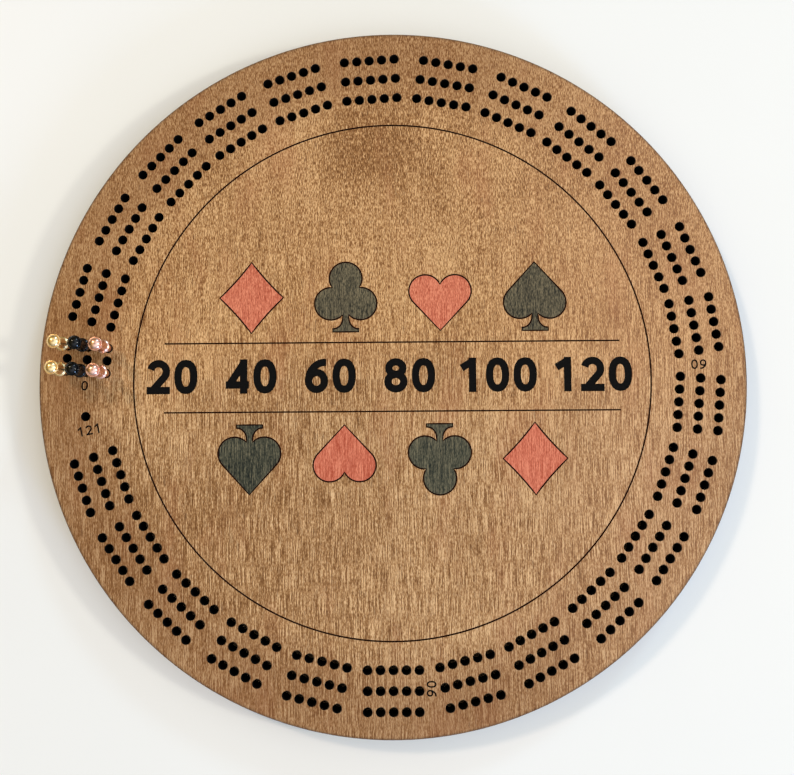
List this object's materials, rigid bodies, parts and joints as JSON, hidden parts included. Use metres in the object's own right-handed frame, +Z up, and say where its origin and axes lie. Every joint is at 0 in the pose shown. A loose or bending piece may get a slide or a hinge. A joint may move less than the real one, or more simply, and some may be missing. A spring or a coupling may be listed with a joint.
{
  "type": "cribbage board",
  "caption": "Round wooden cribbage board with a ring of peg-hole tracks, scored card suits, and turned metal pegs that lift out of their holes.",
  "frame": {"origin": "middle of the underside of the round board, on the surface it rests on", "axes": "+Z up out of the face, +X to the right and +Y to the top as a player reads the board with the start block on the left"},
  "size_m": [0.254, 0.254, 0.0296],
  "materials": {
    "stained_wood": "golden brown stain under a thin satin coat, holes charred black",
    "bare_wood": "sanded plywood, uncoated",
    "gold_metal": "polished gold plate",
    "black_metal": "polished black plate",
    "copper_metal": "polished copper plate"
  },
  "bodies": {
    "board": {"face_panel": "stained_wood", "base_panel": "bare_wood"},
    "gold_back": {"gold_back_peg": "gold_metal"},
    "gold_front": {"gold_front_peg": "gold_metal"},
    "black_back": {"black_back_peg": "black_metal"},
    "black_front": {"black_front_peg": "black_metal"},
    "copper_back": {"copper_back_peg": "copper_metal"},
    "copper_front": {"copper_front_peg": "copper_metal"}
  },
  "joints": [
    {"name": "gold_back_lift", "type": "slide", "parent": "board", "child": "gold_back", "axis": [0, 0, 1], "range_m": [0, 0.0092]},
    {"name": "gold_front_lift", "type": "slide", "parent": "board", "child": "gold_front", "axis": [0, 0, 1], "range_m": [0, 0.0092]},
    {"name": "black_back_lift", "type": "slide", "parent": "board", "child": "black_back", "axis": [0, 0, 1], "range_m": [0, 0.0092]},
    {"name": "black_front_lift", "type": "slide", "parent": "board", "child": "black_front", "axis": [0, 0, 1], "range_m": [0, 0.0092]},
    {"name": "copper_back_lift", "type": "slide", "parent": "board", "child": "copper_back", "axis": [0, 0, 1], "range_m": [0, 0.0092]},
    {"name": "copper_front_lift", "type": "slide", "parent": "board", "child": "copper_front", "axis": [0, 0, 1], "range_m": [0, 0.0092]}
  ]
}
